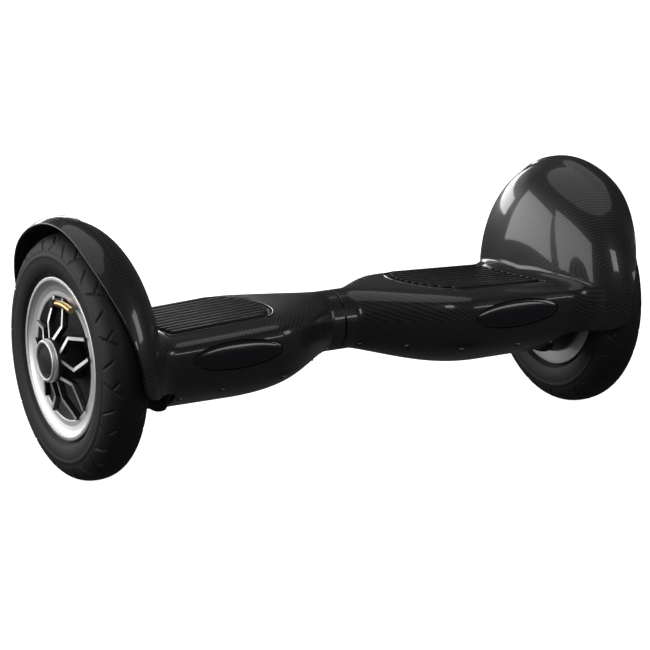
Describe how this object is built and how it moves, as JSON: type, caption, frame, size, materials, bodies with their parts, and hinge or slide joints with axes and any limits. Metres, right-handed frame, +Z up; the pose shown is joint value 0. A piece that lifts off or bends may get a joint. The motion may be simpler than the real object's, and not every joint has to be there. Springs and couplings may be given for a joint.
{
  "type": "self balancing hoverboard",
  "caption": "Two wheel self balancing board with twisting waist, ribbed foot pads, oval lamps, round fenders and pneumatic tyred hub motor wheels.",
  "frame": {"origin": "on the floor midway between the two tyres", "axes": "+X along the axle line, -Y towards the lamps at the front, +Z up"},
  "size_m": [0.6678, 0.2788, 0.271],
  "materials": {
    "shell_plastic": "gloss",
    "inner_plastic": "matte",
    "cast_alloy": "satin",
    "rim_alloy": "polished",
    "pad_rubber": "matte",
    "tyre_rubber": "matte",
    "tube_rubber": "matte",
    "steel": "satin",
    "black_steel": "satin",
    "motor_steel": "satin",
    "winding": "satin",
    "brass": "satin",
    "bronze": "satin",
    "board": "satin",
    "switch_plastic": "satin",
    "lens": "gloss",
    "cells": "satin",
    "cable_rubber": "satin",
    "button_plastic": "gloss"
  },
  "bodies": {
    "left_half": {"left_upper_shell": "shell_plastic", "left_lower_shell": "shell_plastic", "left_arch_plate": "inner_plastic", "left_chassis": "cast_alloy", "left_foot_switches": "switch_plastic", "left_balance_board": "board", "left_lamp_lens": "lens", "left_lamp_board": "board", "left_axle": "steel", "left_axle_clamp": "cast_alloy", "left_clamp_bolts": "black_steel", "left_stator": "winding", "left_shell_screws": "steel", "left_motor_cable": "cable_rubber", "pivot_tube": "steel", "pivot_retainer": "steel", "waist_ring": "inner_plastic", "battery_pack": "cells", "battery_bracket": "steel", "wiring_loom": "cable_rubber", "buzzer": "inner_plastic"},
    "right_half": {"right_upper_shell": "shell_plastic", "right_lower_shell": "shell_plastic", "right_arch_plate": "inner_plastic", "right_chassis": "cast_alloy", "right_foot_switches": "switch_plastic", "right_balance_board": "board", "right_lamp_lens": "lens", "right_lamp_board": "board", "right_axle": "steel", "right_axle_clamp": "cast_alloy", "right_clamp_bolts": "black_steel", "right_stator": "winding", "right_shell_screws": "steel", "right_motor_cable": "cable_rubber", "pivot_bushes": "bronze", "main_board": "board", "button_bezel": "inner_plastic", "charge_socket": "steel"},
    "wheel_left": {"left_rim": "rim_alloy", "left_tyre": "tyre_rubber", "left_inner_tube": "tube_rubber", "left_valve_stem": "brass", "left_motor_covers": "black_steel", "left_magnet_ring": "motor_steel", "left_bearings": "steel", "left_hub_cap": "inner_plastic"},
    "wheel_right": {"right_rim": "rim_alloy", "right_tyre": "tyre_rubber", "right_inner_tube": "tube_rubber", "right_valve_stem": "brass", "right_motor_covers": "black_steel", "right_magnet_ring": "motor_steel", "right_bearings": "steel", "right_hub_cap": "inner_plastic"},
    "foot_pad_left": {"left_foot_pad": "pad_rubber"},
    "foot_pad_right": {"right_foot_pad": "pad_rubber"},
    "power_button": {"power_button": "button_plastic"},
    "port_cap": {"port_cap": "pad_rubber"}
  },
  "joints": [
    {"name": "waist_twist", "type": "hinge", "parent": "left_half", "child": "right_half", "pos_m": [0, 0, 0.127], "axis": [1, 0, 0], "range_deg": [-10, 10], "stiffness_Nm_per_rad": 20},
    {"name": "wheel_left_spin", "type": "hinge", "parent": "left_half", "child": "wheel_left", "pos_m": [-0.2961, 0, 0.127], "axis": [1, 0, 0], "continuous": true},
    {"name": "wheel_right_spin", "type": "hinge", "parent": "right_half", "child": "wheel_right", "pos_m": [0.2961, 0, 0.127], "axis": [1, 0, 0], "continuous": true},
    {"name": "foot_pad_left_press", "type": "slide", "parent": "left_half", "child": "foot_pad_left", "axis": [0, 0, -1], "range_m": [0, 0.002], "stiffness_N_per_m": 8000, "springref_m": -0.0005},
    {"name": "foot_pad_right_press", "type": "slide", "parent": "right_half", "child": "foot_pad_right", "axis": [0, 0, -1], "range_m": [0, 0.002], "stiffness_N_per_m": 8000, "springref_m": -0.0005},
    {"name": "power_button_press", "type": "slide", "parent": "right_half", "child": "power_button", "axis": [0, -1, 0], "range_m": [0, 0.0015], "stiffness_N_per_m": 800, "springref_m": -0.0005},
    {"name": "port_cap_swing", "type": "hinge", "parent": "right_half", "child": "port_cap", "pos_m": [0.16, 0.1067, 0.1246], "axis": [1, 0, 0], "range_deg": [0, 100]}
  ]
}
